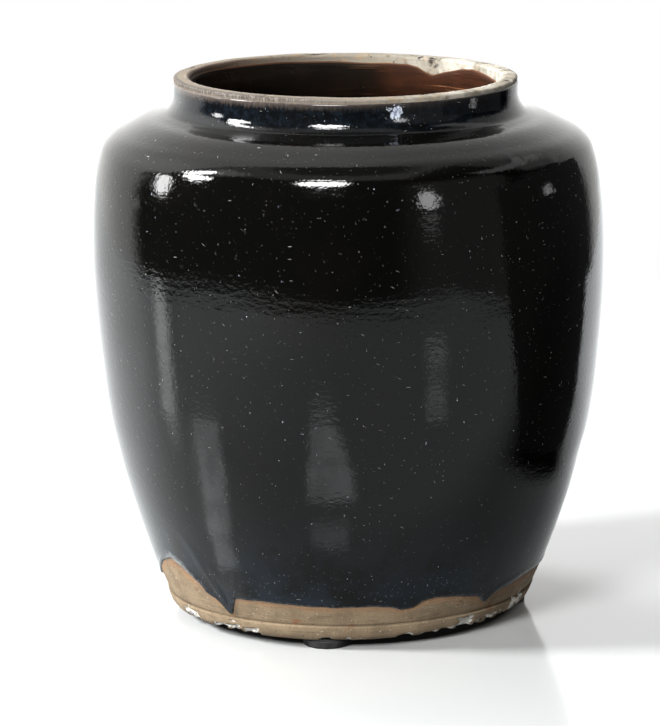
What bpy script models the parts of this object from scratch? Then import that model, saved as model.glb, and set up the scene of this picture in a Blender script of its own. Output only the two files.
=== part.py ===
"""A squat stoneware oil pot, thrown on a wheel and dipped in a black-brown glaze.

The clay body is one turned shell with a wide mouth, a low neck and a narrow bare foot. The outer
glaze is a thin coat that stops short of the foot in an uneven hem, where it ran down in drips. The
inner glaze lines the pot from the floor to just below the lip. Four rubber pads hold the foot off
the table, each on its own disc of adhesive.

Lengths are in metres and +Z is up. The origin is on the table, under the axis of the belly.
"""
import math

import bmesh
import bpy
from mathutils import Vector

# Heights, each measured from the one before it
BELLY_HEIGHT = 0.1920
SHOULDER_RISE = 0.0723
NECK_HEIGHT = 0.0185

# Outside radii of the clay
BASE_RADIUS = 0.0938
COLLAR_RADIUS = 0.0985
BELLY_RADIUS = 0.1348
NECK_RADIUS = 0.0900

# Foot: a plain collar with one groove cut round its top
COLLAR_HEIGHT = 0.0083
GROOVE_WIDTH = 0.0016
GROOVE_DEPTH = 0.0007

# Neck: how far its root spreads over the shoulder, and the rounded lip above it
ROOT_SPREAD = 0.0045
LIP_HEIGHT = 0.0024
LIP_BEAD = 0.0007
LIP_ROUND = 0.0022
LAND_WIDTH = 0.0030

# Thickness of the clay
WALL = 0.0095
NECK_WALL = 0.0078
FLOOR = 0.0125
FLOOR_FILLET = 0.0200

# What the hand left: the foot sits off the belly's axis, and the rim falls to the right
FOOT_SHIFT = -0.0026
RIM_DROP = 0.0014

# Glaze coats
FIT_GAP = 0.0003
OUTER_GLAZE = 0.0008
INNER_GLAZE = 0.0008
LINING_DROP = 0.0062
HEM_RISE = 0.0111
HEM_ROLL = 0.0006
HEM_ROLL_HEIGHT = 0.0026

# Pads under the foot, set in from the edge of the base, and their angles from the pot's right
PAD_RADIUS = 0.0127
PAD_THICKNESS = 0.0040
PAD_EDGE = 0.0007
PAD_OVERHANG = 0.0004
ADHESIVE_RADIUS = 0.0121
ADHESIVE_THICKNESS = 0.0008
PAD_ANGLES = {"front": -98.7, "right": -1.5, "back": 82.0, "left": 172.0}

# Facets round the pot, how much finer the glaze's hem is cut, and facets round a pad
SEGMENTS = 48
HEM_CUTS = 3
PAD_SEGMENTS = 24
FILLET_STEPS = 3
SMOOTH_ANGLE = 35.0

# Outline of the clay: a share of the height, and a share of the spread in radius
COLLAR_SHARES = ((0.0, 0.0), (0.18, 0.36), (0.58, 0.78), (1.0, 1.0))
LOWER_WALL_SHARES = (
    (0.0, 0.0), (0.05, 0.112), (0.12, 0.246), (0.18, 0.346), (0.24, 0.441), (0.39, 0.655),
    (0.54, 0.815), (0.70, 0.910), (0.86, 0.977), (1.0, 1.0),
)
SHOULDER_SHARES = (
    (0.22, 0.992), (0.40, 0.972), (0.56, 0.941), (0.68, 0.895), (0.76, 0.845), (0.82, 0.755),
    (0.88, 0.590), (0.94, 0.385), (0.975, 0.190),
)
ROOT_SHARES = ((0.0, 0.95), (0.10, 0.55), (0.24, 0.22), (0.42, 0.03))
LIP_ROUND_SHARES = ((0.40, 0.0), (0.86, 0.36), (1.0, 1.0))

# The glaze's hem: an angle from the pot's right, and a share of the hem's rise above the foot
LONGEST_DRIP = -128.7
HEM_SHARES = (
    (-180.0, 0.50), (-173.0, 0.24), (-167.0, 0.95), (-158.0, 1.90), (-150.0, 2.40),
    (-145.0, 2.08), (-141.0, 1.72), (-138.0, 1.38), (-136.5, 0.95), (-133.5, 0.82),
    (-131.0, 0.44), (LONGEST_DRIP, 0.07), (-127.0, 0.62), (-125.8, 1.05), (-116.0, 1.07),
    (-105.0, 1.00), (-95.0, 0.94), (-84.0, 0.96), (-79.0, 0.88), (-75.5, 0.68),
    (-72.0, 0.78), (-69.0, 1.08), (-65.0, 1.13), (-58.0, 1.00), (-50.0, 0.78),
    (-46.5, 0.32), (-43.0, 0.72), (-37.0, 0.86), (-29.0, 1.14), (-12.0, 1.10),
    (6.0, 1.10), (20.0, 1.45), (29.0, 1.20), (33.0, 0.30), (37.0, 1.15),
    (52.0, 1.50), (70.0, 1.25), (84.0, 0.95), (90.0, 0.45), (95.0, 0.90),
    (110.0, 1.30), (123.0, 1.70), (132.0, 1.30), (136.5, 0.40), (141.0, 1.15),
    (155.0, 1.50), (169.0, 1.00), (180.0, 0.50),
)
HEM_BAND_STATION = 4
HEM_STEP_SHARE = 0.55
HEM_EDGE_SHARE = 0.5

# The last stations of the wall that shape the neck; below them the inside keeps every second one
NECK_STATIONS = 6

# Worked out from the sizes above
STAND = PAD_THICKNESS + ADHESIVE_THICKNESS
FOOT_TOP = COLLAR_HEIGHT + GROOVE_WIDTH
ROOT_HEIGHT = BELLY_HEIGHT + SHOULDER_RISE
CLAY_HEIGHT = ROOT_HEIGHT + NECK_HEIGHT
PAD_CIRCLE = BASE_RADIUS + PAD_OVERHANG - PAD_RADIUS


def clear_scene():
    """Empties the scene of its objects."""
    for old in list(bpy.data.objects):
        bpy.data.objects.remove(old)


def finish(name, color, roughness, coat=0.0):
    """A material of one colour, with its roughness and its clear coat."""
    material = bpy.data.materials.new(name)
    material.use_nodes = True
    shader = material.node_tree.nodes["Principled BSDF"]
    shader.inputs["Base Color"].default_value = (*color, 1.0)
    shader.inputs["Metallic"].default_value = 0.0
    shader.inputs["Roughness"].default_value = roughness
    shader.inputs["Coat Weight"].default_value = coat
    material.diffuse_color = (*color, 1.0)
    return material


def spread(shares, low, high):
    """Points between two corners of the outline, from shares of the way up and across."""
    low_radius, low_height = low
    high_radius, high_height = high
    return [
        Vector((low_radius + (high_radius - low_radius) * across,
                low_height + (high_height - low_height) * up))
        for up, across in shares
    ]


def foot_outline():
    """The clay's outside from the base up to the floor of the groove, as (radius, height)."""
    collar = spread(COLLAR_SHARES, (BASE_RADIUS, 0), (COLLAR_RADIUS, COLLAR_HEIGHT))
    groove = Vector((COLLAR_RADIUS - GROOVE_DEPTH, COLLAR_HEIGHT + GROOVE_WIDTH / 2))
    return collar + [groove]


def wall_outline():
    """The clay's outside from the top of the groove up to where the glaze stops at the lip."""
    belly = (BELLY_RADIUS, BELLY_HEIGHT)
    lower = spread(LOWER_WALL_SHARES, (COLLAR_RADIUS, FOOT_TOP), belly)
    shoulder = spread(SHOULDER_SHARES, (NECK_RADIUS, BELLY_HEIGHT), (BELLY_RADIUS, ROOT_HEIGHT))
    root = spread(ROOT_SHARES, (NECK_RADIUS, ROOT_HEIGHT), (NECK_RADIUS + ROOT_SPREAD, CLAY_HEIGHT))
    neck = [
        Vector((NECK_RADIUS, CLAY_HEIGHT - LINING_DROP)),
        Vector((NECK_RADIUS, CLAY_HEIGHT - LIP_HEIGHT)),
    ]
    return lower + shoulder + root + neck


def lip_outline():
    """The bare lip: a small bead outside, a round edge, a flat land and a round inner edge."""
    middle = NECK_RADIUS - NECK_WALL / 2
    start = CLAY_HEIGHT - LIP_ROUND
    outside = spread(
        LIP_ROUND_SHARES,
        (NECK_RADIUS + LIP_BEAD, start), (middle + LAND_WIDTH / 2, CLAY_HEIGHT))
    inside = spread(
        LIP_ROUND_SHARES,
        (NECK_RADIUS - NECK_WALL, start), (middle - LAND_WIDTH / 2, CLAY_HEIGHT))
    return outside + inside[::-1]


def offset_outline(outline, depths):
    """The outline moved square to itself by one depth a point, into the clay if positive."""
    moved = []
    last = len(outline) - 1
    for index, (here, depth) in enumerate(zip(outline, depths)):
        arriving = (here - outline[index - 1]).normalized() if index > 0 else None
        leaving = (outline[index + 1] - here).normalized() if index < last else arriving
        arriving = arriving or leaving
        along = (arriving + leaving).normalized()
        square = Vector((-along.y, along.x))
        moved.append(here + square * depth / along.dot(arriving))
    return moved


def coat_outline(outline, thickness):
    """A glaze coat's face, one even thickness off the clay."""
    return offset_outline(outline, [-thickness] * len(outline))


def inner_outline():
    """The clay's inside, from the lip down the wall, round the fillet to the edge of the floor."""
    outside = wall_outline()
    wall = outside[1:-NECK_STATIONS:2] + outside[-NECK_STATIONS:]
    depths = [
        WALL + (NECK_WALL - WALL) * min(max((point.y - BELLY_HEIGHT) / SHOULDER_RISE, 0), 1)
        for point in wall
    ]
    inside = offset_outline(wall, depths)[::-1]
    corner = inside[-1]
    turns = [math.pi / 2 * step / FILLET_STEPS for step in range(1, FILLET_STEPS + 1)]
    fillet = [
        Vector((corner.x - FLOOR_FILLET * (1 - math.cos(turn)),
                corner.y - (corner.y - FLOOR) * math.sin(turn)))
        for turn in turns
    ]
    return inside + fillet


def directions(cuts=1):
    """Unit directions round the pot, with the finer cuts on the straight facet between them."""
    columns = []
    for step in range(SEGMENTS):
        turn = math.radians(LONGEST_DRIP) + math.tau * step / SEGMENTS
        columns.append(Vector((math.cos(turn), math.sin(turn))))
    return [
        column.lerp(columns[(step + 1) % SEGMENTS], cut / cuts)
        for step, column in enumerate(columns)
        for cut in range(cuts)
    ]


def place(direction, radius, height):
    """A point of the pot in space, with the foot's shift and the fall of the rim."""
    below = max(1 - height / BELLY_HEIGHT, 0)
    above = min(max((height - BELLY_HEIGHT) / SHOULDER_RISE, 0), 1)
    fall = RIM_DROP * above ** 2 * radius * direction.x / NECK_RADIUS
    return Vector((
        FOOT_SHIFT * below ** 2 + radius * direction.x,
        radius * direction.y,
        STAND + height - fall,
    ))


def turned_ring(mesh, point):
    """A ring of vertices where a point of an outline is turned round the pot."""
    return [mesh.verts.new(place(direction, *point)) for direction in directions()]


def centre_ring(mesh, height):
    """A single vertex on the axis, which closes a floor."""
    return [mesh.verts.new(place(Vector((0, 0)), 0, height))]


def hem_share(direction):
    """How high the hem stands in one direction, as a share of its rise."""
    angle = math.degrees(math.atan2(direction.y, direction.x))
    for (before, low), (after, high) in zip(HEM_SHARES, HEM_SHARES[1:]):
        if before <= angle <= after:
            return low + (high - low) * (angle - before) / (after - before)
    return HEM_SHARES[0][1]


def radius_at(outline, height):
    """The radius of an outline that climbs, at one height."""
    for low, high in zip(outline, outline[1:]):
        if low.y <= height <= high.y:
            return low.x + (high.x - low.x) * (height - low.y) / (high.y - low.y)
    return outline[0].x


def hem_ring(mesh, outline, lift=0, share=0):
    """A finely cut ring that follows the hem, lifted by a length or a share of the hem's band."""
    ring = []
    for direction in directions(HEM_CUTS):
        edge = FOOT_TOP + HEM_RISE * hem_share(direction)
        height = edge + lift + (outline[HEM_BAND_STATION].y - edge) * share
        ring.append(mesh.verts.new(place(direction, radius_at(outline, height), height)))
    return ring


def bridge(mesh, first, second):
    """Faces between two rings, one of which may be a finer cut of the other or a single point."""
    sides = min(len(ring) for ring in (first, second) if len(ring) > 1)
    for step in range(sides):
        corners = []
        for ring, order in ((first, 1), (second, -1)):
            cuts = len(ring) // sides
            run = [ring[(step * cuts + cut) % len(ring)] for cut in range(cuts + 1)]
            corners += run[::order] if cuts else ring
        mesh.faces.new(corners)


def lofted(name, rings, mesh, material, closed=False):
    """An object whose skin runs from ring to ring, and back to the first if it is closed."""
    for first, second in zip(rings, rings[1:] + rings[:1] if closed else rings[1:]):
        bridge(mesh, first, second)
    data = bpy.data.meshes.new(name)
    mesh.to_mesh(data)
    mesh.free()
    return add_object(name, data, material)


def add_object(name, data, material):
    """A named object in the scene, smooth but for its sharp edges."""
    data.shade_smooth()
    data.set_sharp_from_angle(angle=math.radians(SMOOTH_ANGLE))
    data.materials.append(material)
    thing = bpy.data.objects.new(name, data)
    bpy.context.scene.collection.objects.link(thing)
    return thing


def make_body(material):
    """The stoneware body: foot, wall, lip and floor in one closed shell."""
    mesh = bmesh.new()
    outline = foot_outline() + wall_outline() + lip_outline() + inner_outline()
    rings = [centre_ring(mesh, 0)]
    rings += [turned_ring(mesh, point) for point in outline]
    rings.append(centre_ring(mesh, FLOOR))
    return lofted("stoneware_body", rings, mesh, material)


def make_outer_glaze(material):
    """The outer coat, from its running hem up to the bare lip."""
    mesh = bmesh.new()
    wall = wall_outline()
    back = coat_outline(wall, FIT_GAP)
    edge = coat_outline(wall, FIT_GAP + OUTER_GLAZE * HEM_EDGE_SHARE)
    face = coat_outline(wall, FIT_GAP + OUTER_GLAZE)
    roll = coat_outline(wall, FIT_GAP + OUTER_GLAZE + HEM_ROLL)
    outside = [
        hem_ring(mesh, edge),
        hem_ring(mesh, roll, lift=HEM_ROLL_HEIGHT),
        hem_ring(mesh, face, share=HEM_STEP_SHARE),
    ]
    outside += [turned_ring(mesh, point) for point in face[HEM_BAND_STATION:]]
    inside = [
        hem_ring(mesh, back),
        hem_ring(mesh, back, lift=HEM_ROLL_HEIGHT),
        hem_ring(mesh, back, share=HEM_STEP_SHARE),
    ]
    inside += [turned_ring(mesh, point) for point in back[HEM_BAND_STATION:]]
    return lofted("outer_glaze", outside + inside[::-1], mesh, material, closed=True)


def make_inner_glaze(material):
    """The lining, from below the lip down the wall and over the floor."""
    mesh = bmesh.new()
    wall = inner_outline()[1:]
    back = coat_outline(wall, FIT_GAP)
    face = coat_outline(wall, FIT_GAP + INNER_GLAZE)
    rings = [centre_ring(mesh, FLOOR + FIT_GAP)]
    rings += [turned_ring(mesh, point) for point in back[::-1]]
    rings += [turned_ring(mesh, point) for point in face]
    rings.append(centre_ring(mesh, FLOOR + FIT_GAP + INNER_GLAZE))
    return lofted("inner_glaze", rings, mesh, material)


def make_disc(name, angle, radius, low, high, material, edge=0):
    """A round disc under the foot at one angle, with its lower edge rounded."""
    mesh = bmesh.new()
    bmesh.ops.create_cone(
        mesh, cap_ends=True, segments=PAD_SEGMENTS,
        radius1=radius, radius2=radius, depth=high - low)
    if edge:
        middle = 0
        rim = [side for side in mesh.edges if all(end.co.z < middle for end in side.verts)]
        bmesh.ops.bevel(mesh, geom=rim, offset=edge, segments=2, profile=0.5, affect="EDGES")
    turn = math.radians(angle)
    centre = Vector((
        FOOT_SHIFT + PAD_CIRCLE * math.cos(turn),
        PAD_CIRCLE * math.sin(turn),
        (low + high) / 2,
    ))
    bmesh.ops.translate(mesh, verts=mesh.verts, vec=centre)
    data = bpy.data.meshes.new(name)
    mesh.to_mesh(data)
    mesh.free()
    return add_object(name, data, material)


def make_pads(rubber, adhesive):
    """The four rubber pads on the table, each with its adhesive disc up against the base."""
    for side, angle in PAD_ANGLES.items():
        make_disc(f"floor_pad_{side}", angle, PAD_RADIUS, 0, PAD_THICKNESS, rubber, PAD_EDGE)
        make_disc(f"pad_adhesive_{side}", angle, ADHESIVE_RADIUS, PAD_THICKNESS, STAND, adhesive)


def main():
    """Builds the whole pot."""
    clear_scene()
    make_body(finish("bare_stoneware", (0.36, 0.27, 0.18), 0.85))
    make_outer_glaze(finish("black_brown_glaze", (0.012, 0.012, 0.012), 0.12, 0.6))
    make_inner_glaze(finish("red_brown_glaze", (0.075, 0.022, 0.010), 0.22, 0.4))
    rubber = finish("black_rubber", (0.015, 0.015, 0.015), 0.6)
    adhesive = finish("adhesive_foam", (0.55, 0.54, 0.50), 0.8)
    make_pads(rubber, adhesive)


main()
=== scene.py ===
"""Looks for a squat stoneware oil pot: thrown clay, a running black-brown glaze, a red-brown lining and
rubber floor pads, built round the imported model. Lengths are in metres and +Z is up.
"""
import contextlib
import math

import bpy
import numpy as np
from mathutils import Matrix, Vector


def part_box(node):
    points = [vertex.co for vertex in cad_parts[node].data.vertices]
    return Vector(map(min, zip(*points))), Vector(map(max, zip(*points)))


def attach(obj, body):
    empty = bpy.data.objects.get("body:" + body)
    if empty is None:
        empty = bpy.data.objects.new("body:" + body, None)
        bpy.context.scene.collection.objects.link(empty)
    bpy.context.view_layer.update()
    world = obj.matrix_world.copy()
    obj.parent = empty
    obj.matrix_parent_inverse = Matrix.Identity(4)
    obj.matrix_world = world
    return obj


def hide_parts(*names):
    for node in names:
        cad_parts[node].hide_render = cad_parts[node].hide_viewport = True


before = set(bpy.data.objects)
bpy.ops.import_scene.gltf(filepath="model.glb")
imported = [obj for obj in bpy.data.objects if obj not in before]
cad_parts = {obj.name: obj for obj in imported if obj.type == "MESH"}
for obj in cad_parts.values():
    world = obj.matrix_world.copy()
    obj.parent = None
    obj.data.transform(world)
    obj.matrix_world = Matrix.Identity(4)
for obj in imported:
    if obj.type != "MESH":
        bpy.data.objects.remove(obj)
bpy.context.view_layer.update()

bl_info = {
    "name": "Glazed Oil Pot",
    "version": (1, 0, 0),
    "blender": (4, 5, 0),
    "location": "View3D > Sidebar > Oil Pot",
    "description": "Dresses the packed pot in clay, glaze and rubber, on a lit table",
    "category": "Object",
}

MM = 0.001


def in_metres(first, rows):
    """Rows of a table with their sizes, from one column on, turned from millimetres into metres."""
    return [(*row[:first], *(size * MM for size in row[first:])) for row in rows]


# Outline of the clay: a share of the height, and a share of the spread in radius
COLLAR_SHARES = (
    (0, 0), (0.06, 0.2), (0.18, 0.4), (0.36, 0.62), (0.58, 0.8), (0.8, 0.94), (1, 1),
)
LOWER_WALL_SHARES = (
    (0, 0), (0.05, 0.112), (0.12, 0.246), (0.18, 0.346), (0.24, 0.441), (0.39, 0.655), (0.54, 0.815),
    (0.7, 0.91), (0.86, 0.977), (1, 1),
)
SHOULDER_SHARES = (
    (0.22, 0.992), (0.4, 0.972), (0.56, 0.941), (0.68, 0.895), (0.76, 0.845), (0.82, 0.755), (0.88, 0.59),
    (0.94, 0.385), (0.975, 0.19),
)
ROOT_SHARES = ((0.0, 0.95), (0.10, 0.55), (0.24, 0.22), (0.42, 0.03))
LIP_SHARES = ((0.0, 0.0), (0.40, 0.0), (0.72, 0.16), (0.90, 0.48), (1.0, 1.0))

# The glaze's hem: an angle from the pot's right, and a share of the hem's rise above the foot
HEM_SHARES = (
    (-180, 0.7), (-173, 0.58), (-167, 1.05), (-158, 1.9), (-150, 2.4), (-145, 2.08), (-141, 1.72),
    (-138, 1.38), (-136.5, 0.95), (-133.5, 0.82), (-131, 0.44), (-128.7, 0.07), (-127, 0.62),
    (-125.8, 1.05), (-116, 1.07), (-105, 1), (-95, 0.94), (-84, 0.96), (-79, 0.88), (-75.5, 0.68),
    (-72, 0.78), (-69, 1.08), (-65, 1.13), (-58, 1), (-50, 0.78), (-46.5, 0.32), (-43, 0.72), (-37, 0.86),
    (-29, 1.14), (-12, 1.1), (6, 1.1), (20, 1.45), (29, 1.2), (33, 0.3), (37, 1.15), (52, 1.5),
    (70, 1.25), (84, 0.95), (90, 0.45), (95, 0.9), (110, 1.3), (123, 1.7), (132, 1.3), (136.5, 0.4),
    (141, 1.15), (155, 1.5), (169, 1.1), (180, 0.7),
)

# Drips: the angle of the tip, how far the run leans, and its width, body and height in mm
DRIPS = in_metres(2, (
    (-128.7, -11, 6.5, 0.7, 30), (-173, -4, 5, 0.3, 26), (-75.5, -2, 8, 0.4, 20), (-46.5, 2, 3.5, 0.3, 9),
    (33, 3, 5, 1, 30), (90, -3, 5, 0.9, 28), (136.5, 3, 5, 1, 30),
))

# Chips out of the foot's edge: angle, half width in degrees, height and depth in mm
FOOT_CHIPS = in_metres(2, (
    (-152.5, 2.4, 8, 1.7), (-148, 2.4, 6.5, 1.5), (-136, 3.2, 4.2, 1.4), (-129.5, 3, 6, 2),
    (-123, 3.6, 4.6, 1.9), (-98, 2.4, 2.4, 1), (-72.5, 2.8, 3, 1.7), (-65, 3.4, 1.8, 1.2),
    (-58.5, 3, 3.4, 1.5), (-51.5, 3.4, 7.6, 2), (-46, 1.5, 5, 3.2), (-40.5, 2.8, 5.2, 2.3),
    (-34.5, 2.4, 4, 2.6), (-29, 2.4, 8.5, 1.9), (-24, 2.2, 9.5, 1.7), (12, 3, 4, 1.6), (47, 2.5, 3, 1.2),
    (74, 4, 5, 1.8), (118, 3, 4, 1.5), (151, 2.5, 3, 1.3),
))

# Chips out of the lip: angle, half width in degrees, distance inwards and depth in mm
LIP_CHIPS = in_metres(2, (
    (54, 3, 3, 1.3), (61, 2, 2.2, 0.7), (-16, 1.6, -2, 0.9), (101, 4.5, 0.5, 0.95), (-118, 1.6, -1, 0.5),
    (160, 3, -1, 0.6), (-62, 1.4, 0.6, 0.5),
))

# The inner glaze's edge: an angle, and how many mm it starts below its usual place
LINING_EDGE = in_metres(1, (
    (-180, -3.5), (-60, -1), (-20, 0.5), (8, 0.2), (18, -0.8), (25, -1.9), (33, -3), (40, -2.2),
    (45, -0.6), (50, 1), (54.5, 3), (58, 1.4), (61, -0.8), (65, -2), (72, -1.8), (80, -1.5), (90, -2),
    (110, -2.9), (150, -3.6), (180, -3.5),
))

# Lumps in the wall under the glaze: angle, half width in degrees, height, half height and rise in mm
WALL_LUMPS = in_metres(2, (
    (-11, 9, 80, 9, -0.35), (-4, 12, 98, 10, 0.3), (-142, 1.6, 229, 2.2, 0.35),
    (-36, 1.5, 247, 2.4, 0.45), (-48.5, 1.1, 251, 1.6, 0.4), (-44, 0.9, 250, 1.4, 0.3),
    (-36, 1, 232, 1.4, 0.3), (62, 7, 205, 8, -0.3), (128, 10, 120, 12, 0.3),
))


def length(name, description, default):
    """A size in metres that a user may change."""
    return bpy.props.FloatProperty(
        name=name, description=description, default=default, min=0.0, precision=5,
        subtype="DISTANCE", unit="LENGTH")


def tint(name, description, default):
    """A colour that a user may change."""
    return bpy.props.FloatVectorProperty(
        name=name, description=description, default=default, size=3, min=0.0, max=1.0, subtype="COLOR")


class PotSizes(bpy.types.PropertyGroup):
    """Real sizes of the pot's pieces."""

    belly_height: length("Belly height", "Height of the widest place above the base", 0.1920)
    shoulder_rise: length("Shoulder rise", "From the belly up to the root of the neck", 0.0723)
    neck_height: length("Neck height", "From the root of the neck to the top of the lip", 0.0185)
    base_radius: length("Base radius", "Radius of the clay at its bottom edge", 0.0938)
    collar_radius: length("Collar radius", "Radius of the foot's plain collar", 0.0985)
    belly_radius: length("Belly radius", "Widest radius of the clay", 0.1348)
    neck_radius: length("Neck radius", "Outer radius of the clay's neck", 0.0900)
    collar_height: length("Collar height", "Height of the foot's plain collar", 0.0083)
    groove_width: length("Groove width", "Width of the groove cut round the foot", 0.0016)
    groove_depth: length("Groove depth", "Depth of the groove cut round the foot", 0.0008)
    root_spread: length("Root spread", "How far the neck's root spreads over the shoulder", 0.0045)
    lip_height: length("Lip height", "How far below the top the outer glaze stops", 0.0024)
    lip_bead: length("Lip bead", "How far the bare lip stands out from the neck", 0.0007)
    land_width: length("Land width", "Width of the lip's flat land", 0.0030)
    wall: length("Wall", "Thickness of the clay wall", 0.0095)
    neck_wall: length("Neck wall", "Thickness of the clay at the neck", 0.0078)
    floor: length("Floor", "Thickness of the clay floor", 0.0125)
    floor_fillet: length("Floor fillet", "Radius from the floor up into the wall", 0.0200)
    foot_shift: length("Foot shift", "How far the foot sits left of the belly's axis", 0.0026)
    rim_drop: length("Rim drop", "How far the rim falls to the right", 0.0014)
    hem_rise: length("Hem rise", "Height of the glaze's hem above the foot's groove", 0.0111)
    glaze: length("Glaze", "Thickness of the outer glaze on the wall", 0.0011)
    hem_glaze: length("Hem glaze", "Thickness of the outer glaze at its hem", 0.0006)
    lining: length("Lining", "Thickness of the inner glaze", 0.0009)
    lining_drop: length("Lining drop", "How far below the top the inner glaze starts", 0.0062)
    key: length("Sink", "How far each glaze bites into the clay", 0.00006)
    pad_bevel: length("Pad bevel", "Rounding of a floor pad's edges", 0.0007)


class PotColours(bpy.types.PropertyGroup):
    """Colours of the clay, glazes and pads."""

    clay: tint("Clay", "Bare fired clay", (0.31, 0.235, 0.15))
    # Also laid as painted shade along the clay's bottom edge
    dark_clay: tint("Stained clay", "Grime in the clay's grain", (0.13, 0.092, 0.058))
    orange_clay: tint("Orange clay", "Flashed clay next to the glaze", (0.33, 0.175, 0.085))
    red_clay: tint("Red clay", "Iron patches in the clay", (0.22, 0.075, 0.036))
    chalk: tint("Chalky break", "Fresh breaks along the foot and lip", (0.88, 0.84, 0.75))
    lip: tint("Lip", "Worn pale clay of the lip", (0.25, 0.225, 0.18))
    black: tint("Black glaze", "The thick outer glaze", (0.0018, 0.0018, 0.0016))
    blue: tint("Blue bloom", "Cloudy blue where the glaze pooled", (0.0075, 0.0120, 0.0180))
    fringe: tint("Fringe", "Thin glaze along the hem", (0.085, 0.105, 0.115))
    thin_brown: tint("Thin brown", "Thin glaze under the lip", (0.100, 0.080, 0.068))
    speck: tint("Speck", "Dust and pinholes in the glaze", (0.27, 0.265, 0.23))
    red: tint("Red-brown glaze", "The inner glaze", (0.040, 0.0150, 0.0080))
    deep_red: tint("Dark red-brown", "Thicker runs of the inner glaze", (0.016, 0.008, 0.005))
    rubber: tint("Rubber", "The floor pads", (0.012, 0.012, 0.012))
    foam: tint("Foam", "Adhesive discs over the pads", (0.030, 0.030, 0.030))


class StageLook(bpy.types.PropertyGroup):
    """Table, backdrop and lamps."""

    table: tint("Table", "Colour of the table top", (0.66, 0.675, 0.675))
    backdrop: bpy.props.FloatProperty(
        name="Backdrop", description="Brightness of the backdrop in the glaze", default=1.0, min=0.0)
    lamps: bpy.props.FloatProperty(
        name="Lamps", description="Brightness of the lamps", default=1.0, min=0.0)


# How high the clay stands above the table, and the distance between an outline's smooth points
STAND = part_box("stoneware_body")[0].z
LINE_STEP = 0.2 * MM


def between(shares, low, high):
    """Points between two corners of an outline, as radius and height, from shares up and across."""
    shares = np.array(shares)
    return np.column_stack((
        low[0] + (high[0] - low[0]) * shares[:, 1],
        low[1] + (high[1] - low[1]) * shares[:, 0],
    ))


def reach_along(points):
    """Distance from the first point of an outline to each of its points."""
    return np.concatenate(([0.0], np.cumsum(np.linalg.norm(np.diff(points, axis=0), axis=1))))


def square_to(points):
    """The direction square to an outline at each of its points."""
    along = np.gradient(points, reach_along(points), axis=0)
    along /= np.linalg.norm(along, axis=1)[:, None]
    return np.column_stack((along[:, 1], -along[:, 0]))


def smooth_line(points):
    """Closely spaced points of one smooth curve through an outline's own points."""
    reach = reach_along(points)
    slopes = np.gradient(points, reach, axis=0)
    at = np.linspace(0, reach[-1], round(reach[-1] / LINE_STEP) + 1)
    low = np.clip(np.searchsorted(reach, at, side="right") - 1, 0, len(reach) - 2)
    run = (reach[low + 1] - reach[low])[:, None]
    part = (at - reach[low])[:, None] / run
    return (
        points[low] * (2 * part**3 - 3 * part**2 + 1) + slopes[low] * run * (part**3 - 2 * part**2 + part)
        + points[low + 1] * (3 * part**2 - 2 * part**3) + slopes[low + 1] * run * (part**3 - part**2)
    )


class Line:
    """A smooth outline that can be read at any distance along it, with its square direction."""

    def __init__(self, points):
        self.points = smooth_line(points)
        self.reach = reach_along(self.points)
        self.square = square_to(self.points)
        self.length = self.reach[-1]

    def at(self, distance):
        """Radius and height at distances along the line."""
        return [np.interp(distance, self.reach, self.points[:, axis]) for axis in (0, 1)]

    def square_at(self, distance):
        """The direction square to the line at distances along it."""
        return [np.interp(distance, self.reach, self.square[:, axis]) for axis in (0, 1)]

    def reach_at_height(self, height):
        """Distance along a line that climbs, at given heights."""
        return np.interp(height, self.points[:, 1], self.reach)


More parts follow.
